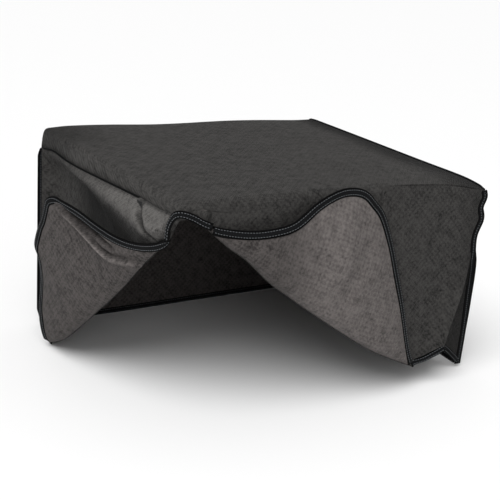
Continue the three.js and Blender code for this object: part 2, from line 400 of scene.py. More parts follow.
def normals(grid):
    """Directions off the cloth, away from the middle of the cover."""
    n = np.cross(np.gradient(grid, axis=0), np.gradient(grid, axis=1))
    n /= np.linalg.norm(n, axis=2, keepdims=True) + 1e-9
    return n if (n * (grid - MIDDLE)).sum() > 0 else -n


def cloth(name, grid, cut, front, reverse, wear_and_painted_light=None):
    """A woven sheet. grid is its front face in millimetres, cut the place of each point in the flat
    cloth. The last argument is the painted light on each point, and below zero the painted shade."""
    rows, columns = grid.shape[:2]
    wear_and_painted_light = np.zeros((rows, columns)) if wear_and_painted_light is None else wear_and_painted_light
    at = np.arange(rows * columns).reshape(rows, columns)
    loop = (at[:-1, :-1], at[1:, :-1], at[1:, 1:], at[:-1, 1:])
    raw = np.cross(np.gradient(grid, axis=0), np.gradient(grid, axis=1))
    facing_in = (raw * (grid - MIDDLE)).sum() < 0
    faces = np.stack(loop[::-1] if facing_in else loop, axis=2).reshape(-1, 4)
    mesh = bpy.data.meshes.new(name)
    mesh.from_pydata((grid.reshape(-1, 3) * MM).tolist(), [], faces.tolist())
    flat = cut.reshape(-1, 2)[faces.reshape(-1)] * MM
    mesh.uv_layers.new(name="cut").data.foreach_set("uv", flat.astype(np.float32).reshape(-1))
    # Each point keeps its painted light, and below zero its painted shade.
    painted_light = mesh.attributes.new("painted_light", "FLOAT", "POINT")
    painted_light.data.foreach_set("value", wear_and_painted_light.astype(np.float32).reshape(-1))
    mesh.shade_smooth()
    mesh.materials.append(front)
    mesh.materials.append(reverse)
    piece = bpy.data.objects.new(name, mesh)
    bpy.context.scene.collection.objects.link(piece)
    soften = piece.modifiers.new("soften", "SUBSURF")
    soften.levels = 1
    soften.render_levels = 1
    soften.uv_smooth = "PRESERVE_BOUNDARIES"
    wall = piece.modifiers.new("cloth_thickness", "SOLIDIFY")
    wall.thickness = CLOTH_THICK * MM
    wall.offset = -1.0
    wall.material_offset = 1
    return piece


def applied(piece):
    """Makes the stack of modifiers part of the mesh."""
    bpy.context.view_layer.update()
    finished = piece.evaluated_get(bpy.context.evaluated_depsgraph_get())
    ready = bpy.data.meshes.new_from_object(finished)
    old = piece.data
    piece.modifiers.clear()
    piece.data = ready
    bpy.data.meshes.remove(old)
    ready.name = piece.name


# Soft edges, as distances from the front left corner of the top.
FRONT_CREASE = [(0, 9), (140, 9), (280, 9), (307, 10), (336, 11), (402, 7), (430, 4), (460, -1), (500, -9)]
BACK_CREASE = [(0, 17), (114, 17), (202, 16), (396, 15), (500, 13)]
LEFT_SEAM = [
    (0, -4), (13, -6), (45, -8), (76, -8), (100, -7), (134, -8),
    (224, -11), (322, -13), (384, -9), (417, -12), (440, -15),
]
RIGHT_SEAM = [(0, -10), (28, -5), (62, -2), (147, 1), (293, 7), (422, 12), (440, 12)]
SLIT_FRONT = [(0, -7), (10, -8), (21, -11), (30, -15), (36, -20)]
FRONT_FOLD = [
    (36, -20), (49, -32), (72, -51), (95, -67), (129, -99), (149, -114), (198, -149),
    (252, -186), (308, -222), (360, -248), (396, -264),
]
FRONT_HEM = [(396, -264), (418, -260), (435, -251), (449, -243)]
PLEAT_EDGE = [(472, 0), (485, -50), (489, -100), (479, -150), (461, -197), (449, -243)]
PLEAT_HEM = [(449, -243), (464, -251), (484, -267), (505, -286)]
RIGHT_EDGE = [
    (499, -14), (501, -22), (496, -36), (500, -48), (500, -57), (493, -74), (492, -90),
    (497, -125), (501, -159), (506, -202), (507, -237), (505, -286),
]
PLEAT_START = 90.0
PLEAT_DEPTH = 27.0
PLEAT_LEAN = 0.66
PLEAT_DROP = 0.36
PLEAT_RIDGE = 12.0
CREASE_DENT = 1.3
FOLD_ROLL = 6.0
FOLD_ROUND = 9.0
LEFT_ROUND_FRONT = 26.0
LEFT_ROUND_BACK = 6.0
BACK_BEND = 6.0
BEND_TURNS = np.radians([18, 36, 54, 72, 90])
BACK_STEPS = 30
TOP_STEPS = 50
FRONT_STEPS = 46
TOP_ROWS = slice(BACK_STEPS + len(BEND_TURNS) - 1, BACK_STEPS + len(BEND_TURNS) + TOP_STEPS - 1)
FRONT_START = TOP_ROWS.stop + 1
CREASE_ROW = TOP_ROWS.stop + 2
PLEAT_AT = 472.0
PLEAT_WIDTH = 28.0
LEFT_FRONT_RISE = 9.0
LEFT_BACK_RISE = 17.0
LEFT_ROUND_LENGTH = 200.0
FRONT_BEND = 14.0
RIGHT_TIGHTER = 10.5
LEFT_TIGHTER = 8.0
# Strength of the painted light on the top and of the painted shade in the valley, at the right edge, below
# and along the crease and at the rear left.
TOP_PAINTED_LIGHT = 0.09
VALLEY_SHADE = 0.75
VALLEY_EDGE_SHADE = 0.5
RIGHT_EDGE_SHADE = 0.95
BELOW_CREASE_SHADE = 0.35
BELOW_CREASE_ROWS = 32
CREASE_SHADE = 0.6
REAR_SHADE = 0.6

main_columns = np.r_[0.0, 1.5, 4.0, 8.0, 14.0, 21.0, np.linspace(30.0, PLEAT_AT, 54)] / PLEAT_AT
pleat_columns = np.array([0.0, 0.05, 0.12, 0.22, 0.36, 0.52, 0.7, 0.86, 0.95, 1.0])
crease_x = np.r_[main_columns * PLEAT_AT, PLEAT_AT + pleat_columns[1:] * PLEAT_WIDTH]
bend_radius = FRONT_BEND - RIGHT_TIGHTER * ease((crease_x - 250.0) / 90.0)
bend_radius -= LEFT_TIGHTER * ease((60.0 - crease_x) / 60.0)


def rounded(near):
    """How far a rounded edge has fallen, from 0 where it starts to bend to nearly 1 at its end."""
    return 1 - np.sqrt(1 - near**2 * 0.999)


def top_height(x, y):
    """Height of the top cloth; x and y are measured from the front left corner."""
    a, b = x / WIDTH, y / DEPTH
    front, back = height_at(FRONT_CREASE, x), height_at(BACK_CREASE, x)
    right = height_at(RIGHT_SEAM, y)
    left = (1 - b) * LEFT_FRONT_RISE + b * LEFT_BACK_RISE
    flat = (1 - b) * front + b * back + (1 - a) * left + a * right
    flat -= (1 - a) * (1 - b) * LEFT_FRONT_RISE + a * (1 - b) * FRONT_CREASE[-1][1]
    flat -= (1 - a) * b * LEFT_BACK_RISE + a * b * BACK_CREASE[-1][1]
    forward = ease(1 - y / LEFT_ROUND_LENGTH)
    rounding = LEFT_ROUND_BACK + (LEFT_ROUND_FRONT - LEFT_ROUND_BACK) * forward
    drop = left - height_at(LEFT_SEAM, y)
    return flat - drop * rounded(np.clip(1 - x / rounding, 0, 1))


def wrap_grid():
    """The whole strip, row by row from the rear hem over the top to the front hem, and its flat cut."""
    rows = []
    strip = []
    width = np.interp(crease_x, [0, PLEAT_AT + PLEAT_WIDTH], [LEFT, RIGHT])
    back_top = top_height(crease_x, np.full_like(crease_x, DEPTH - BACK_BEND))
    for t in np.linspace(0, 1, BACK_STEPS):
        z = HEM + (back_top - BACK_BEND - HEM) * t
        rows.append(np.column_stack([width, np.full_like(width, BACK), z]))
        strip.append(z - HEM)
    back_run = strip[-1]
    for turn in BEND_TURNS:
        y = BACK - BACK_BEND + BACK_BEND * math.cos(turn)
        z = back_top - BACK_BEND + BACK_BEND * math.sin(turn)
        rows.append(np.column_stack([width, np.full_like(width, y), z]))
        strip.append(back_run + BACK_BEND * turn)
    bend_run = strip[-1]
    for t in np.linspace(0, 1, TOP_STEPS)[1:]:
        y = (BACK - BACK_BEND) * (1 - t) + (FRONT + bend_radius) * t
        rows.append(np.column_stack([width, y, top_height(crease_x, y - FRONT)]))
        strip.append(bend_run + (BACK - BACK_BEND) - y)
    front_top = rows[-1][:, 2]
    start = strip[-1]
    for turn in BEND_TURNS:
        y = FRONT + bend_radius * (1 - math.sin(turn))
        z = front_top - bend_radius * (1 - math.cos(turn))
        rows.append(np.column_stack([width, y, z]))
        strip.append(start + bend_radius * turn)

    down = np.linspace(0, 1, FRONT_STEPS)
    top_line = np.column_stack([crease_x, rows[-1][:, 2]])
    left = smooth_line([*SLIT_FRONT, *FRONT_FOLD[1:]], FRONT_STEPS)
    left[0] = top_line[0]
    first = len(main_columns)
    pleat = smooth_line(PLEAT_EDGE, FRONT_STEPS)
    pleat[:, 1] += (top_line[first - 1, 1] - pleat[0, 1]) * (1 - down)
    pleat[0] = top_line[first - 1]
    right = smooth_line(RIGHT_EDGE, FRONT_STEPS)
    right += (top_line[-1] - right[0]) * (1 - down)[:, None] ** 4
    main_hem = smooth_line(FRONT_HEM, main_columns)
    side_hem = smooth_line(PLEAT_HEM, pleat_columns)
    main = between(top_line[:first], main_hem, left, pleat, main_columns, down)
    side = between(top_line[first - 1:], side_hem, pleat, right, pleat_columns, down)
    face = np.concatenate([main, side[:, 1:]], axis=1)

    # The valley fold: right of the pleat line the cloth falls inwards and leans over.
    low = ease((-pleat[:, 1] - PLEAT_START) / 110.0)[:, None]
    q = np.r_[np.zeros(first), pleat_columns[1:]][None]
    fall = np.interp(q[0], [0, 0.05, 0.12, 0.22, 1.0], [0, 0.55, 0.85, 0.97, 1.0])[None]
    face[:, :, 0] += PLEAT_LEAN * PLEAT_DEPTH * low * fall
    face[:, :, 1] -= PLEAT_DROP * PLEAT_DEPTH * low * fall
    x, z = face[:, :, 0], face[:, :, 1]
    gap = np.hypot(x - left[:, None, 0], z - left[:, None, 1])
    bow = rounded(np.clip(1 - gap / FOLD_ROUND, 0, 1))
    rolled = ease((-left[:, 1] - 18.0) / 12.0)[:, None] * bow
    y = np.full_like(x, FRONT) - FOLD_ROLL * rolled
    y = y + PLEAT_DEPTH * low * fall
    ridge = np.exp(-(((x - pleat[:, None, 0]) / 26.0) ** 2)) * (q == 0)
    y = y - PLEAT_RIDGE * low * ridge
    for row in range(1, FRONT_STEPS):
        rows.append(np.column_stack([x[row] + LEFT, y[row], z[row]]))
        strip.append(start + bend_radius * math.pi / 2 + top_line[:, 1] - z[row])
    grid = np.array(rows)
    runs = np.array([np.broadcast_to(run, width.shape) for run in strip])
    cut = np.stack([np.tile(width, (len(rows), 1)), runs], axis=2)
    cut[1 - FRONT_STEPS:, :, 0] = grid[1 - FRONT_STEPS:, :, 0]
    return grid, cut


wrap, wrap_cut = wrap_grid()
pressed = ease((crease_x - 310.0) / 40.0) * ease((486.0 - crease_x) / 14.0)
wrap[CREASE_ROW, :, 1] += CREASE_DENT * pressed
wrap[CREASE_ROW, :, 2] -= CREASE_DENT * pressed
loose = ease((wrap[:, :, 0] - LEFT) / 40.0) * ease((RIGHT - wrap[:, :, 0]) / 40.0)
pinned = np.ones(wrap.shape[:2])
front_rows = wrap[1 - FRONT_STEPS:]
pinned[1 - FRONT_STEPS:] *= ease(np.linalg.norm(front_rows - front_rows[:, :1], axis=2) / 45.0)
wrap_out = normals(wrap)
wrap = wrap + wrap_out * (ripples(wrap, 190.0, 1.7, 4) * loose * pinned)[:, :, None]


def wrap_painted_light():
    """Painted light and shade on the strip: painted light on the top, painted shade in the valley, at the
    right, along the pressed crease and at the rear.
    """
    x, y = wrap[:, :, 0], wrap[:, :, 1]
    wear_and_painted_light = np.zeros(wrap.shape[:2])
    valley = len(main_columns)
    # Painted shade in the valley fold and along its edge.
    low_front = ease((-wrap[FRONT_START:, -1, 2] - 70.0) / 90.0)[:, None]
    wear_and_painted_light[FRONT_START:, valley:] -= VALLEY_SHADE * low_front
    wear_and_painted_light[FRONT_START:, valley - 1:valley] -= VALLEY_EDGE_SHADE * low_front
    # Painted light: the top is painted paler.
    wear_and_painted_light[TOP_ROWS] += TOP_PAINTED_LIGHT
    # Painted shade along the right edge of the top and just below the crease.
    shade_width = np.interp(y, [FRONT, BACK], [100.0, 34.0])
    right_shade = ease((x - RIGHT + shade_width) / (shade_width * 0.8))
    above = slice(TOP_ROWS.start, CREASE_ROW)
    wear_and_painted_light[above] -= RIGHT_EDGE_SHADE * right_shade[above]
    below = slice(CREASE_ROW, CREASE_ROW + BELOW_CREASE_ROWS)
    fading = ease(np.linspace(4.0, 0.0, BELOW_CREASE_ROWS))[:, None]
    wear_and_painted_light[below] -= BELOW_CREASE_SHADE * ease((x[below] - RIGHT + 55.0) / 45.0) * fading
    # Painted shade along the pressed crease.
    wear_and_painted_light[CREASE_ROW] -= CREASE_SHADE * pressed
    # Painted shade at the rear left of the top, where it curves down.
    rear_left = ease((LEFT + 90.0 - x) / 80.0) * ease((y - BACK + 150.0) / 110.0)
    rear = slice(BACK_STEPS, TOP_ROWS.stop)
    wear_and_painted_light[rear] -= REAR_SHADE * rear_left[rear]
    return wear_and_painted_light


wrap_cloth = cloth("wrap_cloth", wrap, wrap_cut, face_cloth, back_cloth, wrap_painted_light())
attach(wrap_cloth, "cover")
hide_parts("top_panel", "front_panel", "back_panel")

# ---------------------------------------------------------------- side cloths
# The two sides are flat pieces of the same cloth, sewn to the strip along the top and
# back. The left one is pushed outwards by the corner that is folded back over it.

LEFT_SLIT = [(3, -10), (9, -14), (14, -20), (19, -28), (20, -37)]
LEFT_FOLD = [
    (20, -37, 2), (44, -58, 3), (82, -91, 5), (115, -124, 8), (158, -162, 11),
    (185, -184, 13), (234, -225, 17), (291, -268, 20), (345, -295, 22),
]
LEFT_REAR_HEM = [(440, -297, 0), (392, -297, 8), (345, -295, 18)]
SIDE_ALONG = np.r_[np.linspace(0, 0.74, 50), np.linspace(0.74, 1, 60)[1:]]
SIDE_DOWN = np.linspace(0, 1, 46)
# How the left side stands out below its seam, by distance back from the front.
RIDGE_BELOW_SEAM = [(60, 34), (90, 30), (150, 19), (240, 12), (330, 4)]
RIDGE_OUT = [(60, 18), (100, 20), (180, 15), (330, 5), (360, 0)]
HOLLOW_IN = [(90, 0), (160, 4), (300, 15), (400, 19)]
HOLLOW_SLOPE = [(70, 58), (150, 44), (250, 14)]
# Painted light on the wedge below the seam, by distance back from the front.
WEDGE_PAINTED_LIGHT = [(90, 0.80), (130, 0.85), (250, 0.55), (330, 0.1)]
FACET_OUT = 19.0
FACET_BELOW = 22.0
FACET_BACK = 9.0
# Painted shade in the hollow between the left side and its folded corner.
HOLLOW_SHADE = 0.9


def straight(table, x):
    """The table's value at x, with straight lines between its places."""
    return np.interp(x, *zip(*table))


def from_corner(points):
    """Points of the cover as distances from the front left corner of the top."""
    return points - np.array([LEFT, FRONT, 0.0])


def left_grid():
    """The left side as points, and the painted light and shade on each one. Stand-offs are measured
    outwards.
    """
    top = smooth_line(from_corner(wrap[TOP_ROWS, 0]), SIDE_ALONG)
    top[:, 0] = 0.0
    bottom_line = [(s, y, z) for y, z, s in [*LEFT_REAR_HEM, *LEFT_FOLD[::-1][1:]]]
    bottom = smooth_line(bottom_line, SIDE_ALONG)
    rear = smooth_line(from_corner(wrap[TOP_ROWS.start::-1, 0]), SIDE_DOWN)
    rear[:, 0] = 0.0
    slit = smooth_line([top[-1], *[(0.0, y, z) for y, z in LEFT_SLIT]], SIDE_DOWN)
    slit[-1] = bottom[-1]
    bottom[0] = rear[-1]
    grid = between(top, bottom, rear, slit, SIDE_ALONG, SIDE_DOWN)
    y, z = grid[:, :, 1], grid[:, :, 2]
    below = height_at(LEFT_SEAM, y.ravel()).reshape(y.shape) - z
    ridge = straight(RIDGE_BELOW_SEAM, y)
    reach = straight(RIDGE_OUT, y)
    hollow = straight(HOLLOW_IN, y)
    soft = straight(HOLLOW_SLOPE, y)
    past = 1 - np.exp(-((np.maximum(below - ridge, 0) / soft) ** 2))
    out = reach * np.sin(np.pi / 2 * np.clip(below / ridge, 0, 1)) - (reach + hollow) * past
    corner = ease((76.0 - y) / 26.0)
    facet = FACET_OUT * np.clip(below / FACET_BELOW, 0, 1)
    facet = facet - FACET_BACK * ease((below - FACET_BELOW) / 18.0)
    out = out * (1 - corner) + corner * facet
    across = SIDE_ALONG[None]
    edge = ease(across * 14) * np.clip((1 - across) * 22, 0, 1) * ease((1 - SIDE_DOWN[:, None]) * 4)
    grid[:, :, 0] += out * edge
    gap = (1 - SIDE_DOWN)[:, None] * np.linalg.norm(top - bottom, axis=1)[None]
    rolled = ease(gap / 12.0) * ease((across - 0.2) * 8) * ease(SIDE_DOWN[:, None] * 2.4)
    grid[:, :, 0] -= FOLD_ROLL * 0.8 * rolled
    # Painted highlight on the wedge of cloth just below the seam, which faces the daylight.
    wedge_highlight = ease(below / 4.0) * np.exp(-((np.maximum(below - ridge * 0.5, 0) / (soft * 0.26)) ** 2))
    wedge_highlight = wedge_highlight * straight(WEDGE_PAINTED_LIGHT, y)
    # Painted highlight on the corner facet, which faces the daylight.
    facet_highlight = ease((98.0 - y) / 8.0) * ease((y - 34.0) / 10.0)
    facet_highlight = facet_highlight * ease(below / 5.0) * ease((31.0 - below) / 12.0)
    # Painted shade in the hollow below the ridge.
    shade = -HOLLOW_SHADE * ease((below - ridge * 0.85) / 16.0)
    shade = shade * ease((y - 38.0) / 30.0) * ease((350.0 - y) / 90.0)
    wear_and_painted_light = np.maximum(wedge_highlight * edge, facet_highlight) + shade
    return np.stack([LEFT - grid[:, :, 0], FRONT + y, z], axis=2), wear_and_painted_light


left, left_painted_light = left_grid()
left_cut = left[:, :, 1:3].copy()
left_out = normals(left)
left_loose = ease(SIDE_DOWN * 8)[:, None] * ease((1 - SIDE_DOWN) * 6)[:, None]
left_loose = left_loose * (ease(SIDE_ALONG * 10) * ease((1 - SIDE_ALONG) * 10))[None]
press = ripples(left, 120.0, 2.4, 8) * left_loose
tack_crease = [(LEFT - 4, FRONT + 90, -12), (LEFT - 10, FRONT + 72, -27), (LEFT - 12, FRONT + 42, -44)]
press += crease(left, tack_crease, 1.8, -5.0, FLAT_ON_SIDE)
press += crease(left, [(x, y + 9, z - 2) for x, y, z in tack_crease], 6.0, 4.0, FLAT_ON_SIDE)
left = left + left_out * press[:, :, None]
# A thin line of painted shade along the tack crease.
left_painted_light = left_painted_light - crease(left, tack_crease, 2.0, 1.6, FLAT_ON_SIDE)
left_cloth = cloth("left_side_cloth", left, left_cut, face_cloth, back_cloth, left_painted_light)
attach(left_cloth, "cover")
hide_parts("left_panel")


RIGHT_ALONG = np.linspace(0, 1, 60)
RIGHT_DOWN = np.linspace(0, 1, 40)
RIGHT_HEM = [(500.0, 110.0, -281.0), (499.0, 260.0, -290.0)]


def right_grid():
    top = smooth_line(from_corner(wrap[TOP_ROWS, -1])[::-1], len(RIGHT_ALONG))
    front = smooth_line(from_corner(wrap[TOP_ROWS.stop - 1:, -1]), len(RIGHT_DOWN))
    rear = smooth_line(from_corner(wrap[TOP_ROWS.start::-1, -1]), len(RIGHT_DOWN))
    hem = smooth_line([front[-1], *RIGHT_HEM, rear[-1]], len(RIGHT_ALONG))
    grid = between(top, hem, front, rear, RIGHT_ALONG, RIGHT_DOWN)
    return grid + np.array([LEFT, FRONT, 0.0])


right = right_grid()
right_cut = right[:, :, 1:3].copy()
right_loose = np.ones(right.shape[:2])
for edge in (RIGHT_DOWN[:, None] * 6, RIGHT_ALONG[None] * 10, (1 - RIGHT_ALONG)[None] * 10):
    right_loose = right_loose * ease(edge)
near_fold = [(RIGHT, FRONT + 20, -30), (RIGHT, FRONT + 150, -150), (RIGHT, FRONT + 200, -280)]
rear_fold = [(RIGHT, BACK - 20, -20), (RIGHT, BACK - 90, -160), (RIGHT, BACK - 110, -290)]
press = ripples(right, 150.0, 3.4, 21)
press += crease(right, near_fold, 16.0, 5.0)
press += crease(right, rear_fold, 18.0, 4.0)
right = right + normals(right) * (press * right_loose)[:, :, None]
right_cloth = cloth("right_side_cloth", right, right_cut, face_cloth, back_cloth)
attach(right_cloth, "cover")
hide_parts("right_panel")

# ---------------------------------------------------------------- folded corners
# Below the short slit the front left corner is open from top to hem. Both loose
# corners are folded back, so that the paler reverse of the cloth shows.

FRONT_EDGE = [
    (37, -18, 4), (55, -25, 5), (92, -31, 10), (126, -31, 13), (157, -24, 16), (191, -1, 16),
    (223, 11, 14), (249, 12, 12), (270, 6, 11), (287, -8, 10), (305, -28, 10), (324, -68, 10),
    (341, -112, 9), (357, -158, 9), (380, -229, 7), (396, -263, 5),
]
LEFT_EDGE = [
    (18, -36, 1), (30, -45, 4), (49, -54, 10), (82, -61, 18), (115, -61, 27), (152, -55, 36),
    (190, -46, 45), (223, -41, 53), (241, -39, 58), (256, -45, 62), (267, -60, 61), (279, -79, 60),
    (290, -93, 60), (307, -124, 59), (313, -142, 52), (317, -155, 48), (323, -178, 43), (330, -202, 41),
    (337, -228, 40), (343, -260, 36), (347, -285, 29), (346, -295, 23),
]
FRONT_CUT = (250.0, 312.0, 465.0)
LEFT_CUT = (255.0, 268.0, 436.6)
FRONT_CUT_TURN = 0.58
LEFT_CUT_TURN = -0.66
FRONT_BULGE = 9.0
FRONT_LIFT = 0.055
LEFT_BULGE = 5.0
LEFT_LIFT = 0.04
FLAP_ALONG = np.linspace(0.015, 0.985, 108)
FLAP_UP = np.r_[0.0, 0.02, 0.05, 0.09, 0.14, 0.2, 0.27, 0.34, 0.41, np.linspace(0.46, 1.0, 23)]
FLAP_RISE = np.array([0.0, 0.03, 0.09, 0.3, 0.55, 0.8, 1.0])
FLAP_SWELL = np.array([0.0, 0.45, 0.85, 1.0, 0.8, 0.35, 0.0])
FLAP_LINE_STEPS = 60


def flap_grid(fold, edge, cut_edges, bulge, lift):
    """A folded corner: from each place on the fold the cloth rises, swells outwards and ends on the
    free edge. Points are (along, height, stand-off)."""
    slit_length, hem_length, fold_length = cut_edges
    foot = (slit_length**2 - hem_length**2 + fold_length**2) / (2 * fold_length)
    tip = slit_length / (slit_length + hem_length)
    place = FLAP_ALONG * fold_length
    past_tip = tip + (1 - tip) * (place - foot) / (fold_length - foot)
    way = np.where(place < foot, tip * place / foot, past_tip)
    root = smooth_line(fold, FLAP_ALONG)
    rim = smooth_line(edge, way)
    columns = []
    for a, b in zip(root, rim):
        reach = np.linalg.norm(b - a)
        points = a + (b - a) * FLAP_RISE[:, None]
        points[:, 2] += (bulge + lift * reach) * FLAP_SWELL * min(1.0, reach / 60.0)
        line = smooth_line(points, FLAP_LINE_STEPS)
        part = np.linspace(0, 1, FLAP_LINE_STEPS)
        columns.append(np.column_stack([np.interp(FLAP_UP, part, line[:, k]) for k in range(3)]))
    grid = np.array(columns).transpose(1, 0, 2)
    flat_length = np.cumsum(np.r_[0, np.linalg.norm(np.diff(root, axis=0), axis=1)])
    height = np.cumsum(np.linalg.norm(np.diff(grid, axis=0), axis=2), axis=0)
    height = np.r_[np.zeros((1, len(FLAP_ALONG))), height]
    return grid, np.stack([np.tile(flat_length, (len(FLAP_UP), 1)), height], axis=2)


def turned(cut, angle):
    """The flat cut, turned so that the threads run as in the panel the corner belongs to."""
    c, s = math.cos(angle), math.sin(angle)
    return cut @ np.array([[c, s], [-s, c]])


fold_edge = [(x, z, FOLD_ROLL) for x, z in FRONT_FOLD]
front_flap, front_flap_cut = flap_grid(fold_edge, FRONT_EDGE, FRONT_CUT, FRONT_BULGE, FRONT_LIFT)
along, height, proud = np.moveaxis(front_flap, 2, 0)
front_flap = np.stack([LEFT + along, FRONT - proud, height], axis=2)
flap_out = normals(front_flap)
flap_along = np.linspace(0, 1, len(FLAP_ALONG))
inner_part = ease(FLAP_UP * 4)[:, None] * ease((1 - FLAP_UP) * 5)[:, None]
inner_part = inner_part * (ease(flap_along * 8) * ease((1 - flap_along) * 8))[None]
press = ripples(front_flap, 110.0, 2.6, 3) * inner_part
for line, width, depth in (
    ([(246, -22), (240, -80), (205, -128)], 17.0, 4.0),
    ([(290, -60), (262, -100), (240, -150)], 14.0, -4.0),
    ([(120, -45), (190, -75), (240, -130)], 13.0, -3.0),
):
    bend = [(LEFT + x, FRONT, z) for x, z in line]
    press += crease(front_flap, bend, width, depth, FLAT_ON_FRONT) * inner_part
front_flap = front_flap + flap_out * press[:, :, None]
# Painted light: the reverse of the front corner is painted paler from its middle towards the right.
FRONT_FLAP_PAINTED_LIGHT = [(140, 0.0), (200, 0.40), (240, 0.42), (280, 0.34), (330, 0.30), (380, 0.22)]
lit = straight(FRONT_FLAP_PAINTED_LIGHT, front_flap[:, :, 0] - LEFT)
front_cut = turned(front_flap_cut, FRONT_CUT_TURN)
front_flap_sheet = cloth("front_flap_sheet", front_flap, front_cut, back_cloth, face_cloth, lit)

left_flap, left_flap_cut = flap_grid(LEFT_FOLD, LEFT_EDGE, LEFT_CUT, LEFT_BULGE, LEFT_LIFT)
along, height, proud = np.moveaxis(left_flap, 2, 0)
left_flap = np.stack([LEFT - proud, FRONT + along, height], axis=2)
left_flap_out = normals(left_flap)
GROOVE = [(58, 231, -46), (50, 185, -61), (36, 143, -72), (26, 120, -78)]
RIDGE = [(56, 230, -56), (42, 171, -77), (25, 132, -91), (20, 110, -92), (8, 83, -89)]


def side_crease(line, lower, width, depth):
    """A fold of the left flap along a line of (stand-off, distance back, height), moved down by lower."""
    bend = [(LEFT - out, FRONT + y, z - lower) for out, y, z in line]
    return crease(left_flap, bend, width, depth, FLAT_ON_SIDE)


press = ripples(left_flap, 110.0, 2.2, 12) * inner_part
press += side_crease(GROOVE, 0, 3.4, -9.0)
press += side_crease(GROOVE, 6, 4.0, 5.0)
press += side_crease(RIDGE, 0, 3.6, 7.0)
press += side_crease(RIDGE, -6, 3.4, -6.0)
left_flap = left_flap + left_flap_out * press[:, :, None]
# Painted highlight along the pleat ridges and painted shade in their grooves.
pleat_light_and_shade = 0.7 * side_crease(RIDGE, 0, 2.2, 1.0) + 0.4 * side_crease(GROOVE, -5, 5.0, 1.0)
pleat_light_and_shade -= side_crease(GROOVE, 0, 2.6, 0.9) + side_crease(RIDGE, -5, 2.4, 0.7)
left_cut = turned(left_flap_cut, LEFT_CUT_TURN)
left_flap_sheet = cloth("left_flap_sheet", left_flap, left_cut, back_cloth, face_cloth, pleat_light_and_shade)


def fold_blend(piece, joint_name, body):
    """Bakes the piece's place into its mesh; the fold's axis is read from the joint but not used."""
    joint = next(j for j in frame["joints"] if j["name"] == joint_name)
    axis = Vector(joint["axis"]).normalized()
    outward = Vector((0, -1, 0)) if body == "front_flap" else Vector((-1, 0, 0))
    away = axis.cross(outward)
    if away.z < 0:
        away = -away
    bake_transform(piece)


FRONT_BLEND_END = 9.0
LEFT_BLEND_END = 26.0
for piece, joint_name, body, late, node in (
    (front_flap_sheet, "front_flap_fold", "front_flap", FRONT_BLEND_END, "front_flap_cloth"),
    (left_flap_sheet, "left_flap_fold", "left_flap", LEFT_BLEND_END, "left_flap_cloth"),
):
    applied(piece)
    fold_blend(piece, joint_name, body)
    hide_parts(node)

# ---------------------------------------------------------------- bindings
# Every raw edge and every side seam is closed in a black ribbed ribbon, folded over
# the edge. Dark grey thread holds it, in two rows on the hems and loose edges and in
# one row along the seams.

# The ribbon is black, and a painted highlight turns its middle grey along the crown.
BINDING_DARK = (0.0007, 0.0007, 0.0008)
BINDING_HIGHLIGHT = (0.0060, 0.0066, 0.0074)
RIB_PITCH = 1.9
RIB_HEIGHT = 0.5
HIGHLIGHT_HALF_WIDTH = 2.2


def ribbon_material():
    """Grosgrain ribbon: ribs across its length, with a painted highlight that makes the middle greyer."""
    material = bpy.data.materials.new("grosgrain_binding")
    shader = principled(material)
    tree = material.node_tree
    flat = tree.nodes.new("ShaderNodeUVMap")
    flat.uv_map = "cut"
    split = tree.nodes.new("ShaderNodeSeparateXYZ")
    link(tree, flat.outputs["UV"], split.inputs["Vector"])
    ribs = sums(tree, "MULTIPLY", split.outputs["X"], math.pi / (RIB_PITCH * MM))
    ribs = sums(tree, "ABSOLUTE", sums(tree, "SINE", ribs))
    across = sums(tree, "ABSOLUTE", split.outputs["Y"])
    # The painted highlight: the middle band is painted grey over the ribs.
    middle = sums(tree, "LESS_THAN", across, HIGHLIGHT_HALF_WIDTH * MM)
    speck = noise(tree, flat.outputs["UV"], 520.0, 2.0)
    painted_light = sums(tree, "MULTIPLY", sums(tree, "ADD", ribs, speck), 0.55)
    painted_light = sums(tree, "MULTIPLY", middle, painted_light)
    link(tree, mixed(tree, painted_light, BINDING_DARK, BINDING_HIGHLIGHT), shader.inputs["Base Color"])
    bump = tree.nodes.new("ShaderNodeBump")
    bump.inputs["Strength"].default_value = 0.7
    bump.inputs["Distance"].default_value = RIB_HEIGHT * MM
    link(tree, ribs, bump.inputs["Height"])
    link(tree, bump.outputs["Normal"], shader.inputs["Normal"])
    shader.inputs["Roughness"].default_value = 0.72
    shader.inputs["Specular IOR Level"].default_value = 0.07
    return material


ribbon = ribbon_material()
PROFILE_WIDTH = 10.0
PROFILE_THICK = 3.8
RIBBON_PROFILE = [
    (-5, 0), (-4.7, 1.1), (-3.6, 1.6), (-2.7, 1.2), (-1.4, 1.7), (0, 1.9),
    (1.4, 1.7), (2.7, 1.2), (3.6, 1.6), (4.7, 1.1), (5, 0),
]


